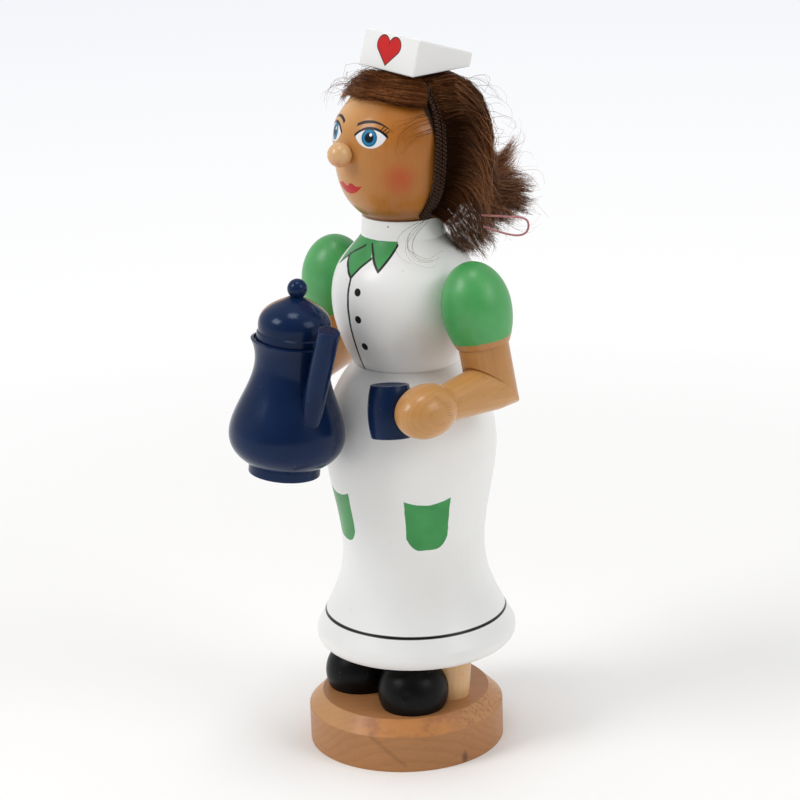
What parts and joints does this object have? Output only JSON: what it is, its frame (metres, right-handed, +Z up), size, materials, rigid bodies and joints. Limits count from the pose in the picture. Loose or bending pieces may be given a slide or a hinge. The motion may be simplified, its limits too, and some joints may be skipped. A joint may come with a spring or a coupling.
{
  "type": "incense smoker figure",
  "caption": "Turned wooden incense smoker: a nurse with a pot and a cup, whose hollow upper body lifts off the skirt to hold an incense cone.",
  "frame": {"origin": "centre of the round base, on its underside", "axes": "+Z up, the figure faces -Y and its left hand is on +X"},
  "size_m": [0.08, 0.096, 0.2045],
  "materials": {
    "bare_wood": "clear satin lacquer",
    "white_paint": "gloss white paint with painted details",
    "green_sleeve": "gloss green paint above clear lacquer",
    "blue_paint": "gloss dark blue paint",
    "black_paint": "gloss black paint",
    "dark_pad": "dull dark felt and glue",
    "hair": "brown doll hair",
    "pink_thread": "dull pink thread",
    "tin": "pressed tin plate"
  },
  "bodies": {
    "lower_body": {"base_disc": "bare_wood", "left_leg": "bare_wood", "right_leg": "bare_wood", "left_shoe": "black_paint", "right_shoe": "black_paint", "skirt": "white_paint"},
    "dish": {"incense_dish": "tin"},
    "upper_body": {"bodice": "white_paint", "left_upper_arm": "green_sleeve", "right_upper_arm": "green_sleeve", "left_forearm": "bare_wood", "right_forearm": "bare_wood", "left_shoulder_peg": "bare_wood", "right_shoulder_peg": "bare_wood", "head": "bare_wood", "nose": "bare_wood", "nurse_cap": "white_paint", "cap_pad": "dark_pad", "fringe": "hair", "hair_weft": "hair", "back_hair": "hair", "hair_thread": "pink_thread", "pot_body": "blue_paint", "pot_lid": "blue_paint", "pot_spout": "blue_paint", "cup": "blue_paint"}
  },
  "joints": [
    {"name": "upper_body_turn", "type": "hinge", "parent": "lower_body", "child": "dish", "pos_m": [0, 0.005, 0.1122], "axis": [0, 0, 1], "continuous": true},
    {"name": "upper_body_lift", "type": "slide", "parent": "dish", "child": "upper_body", "axis": [0, 0, 1], "range_m": [0, 0.05]}
  ]
}
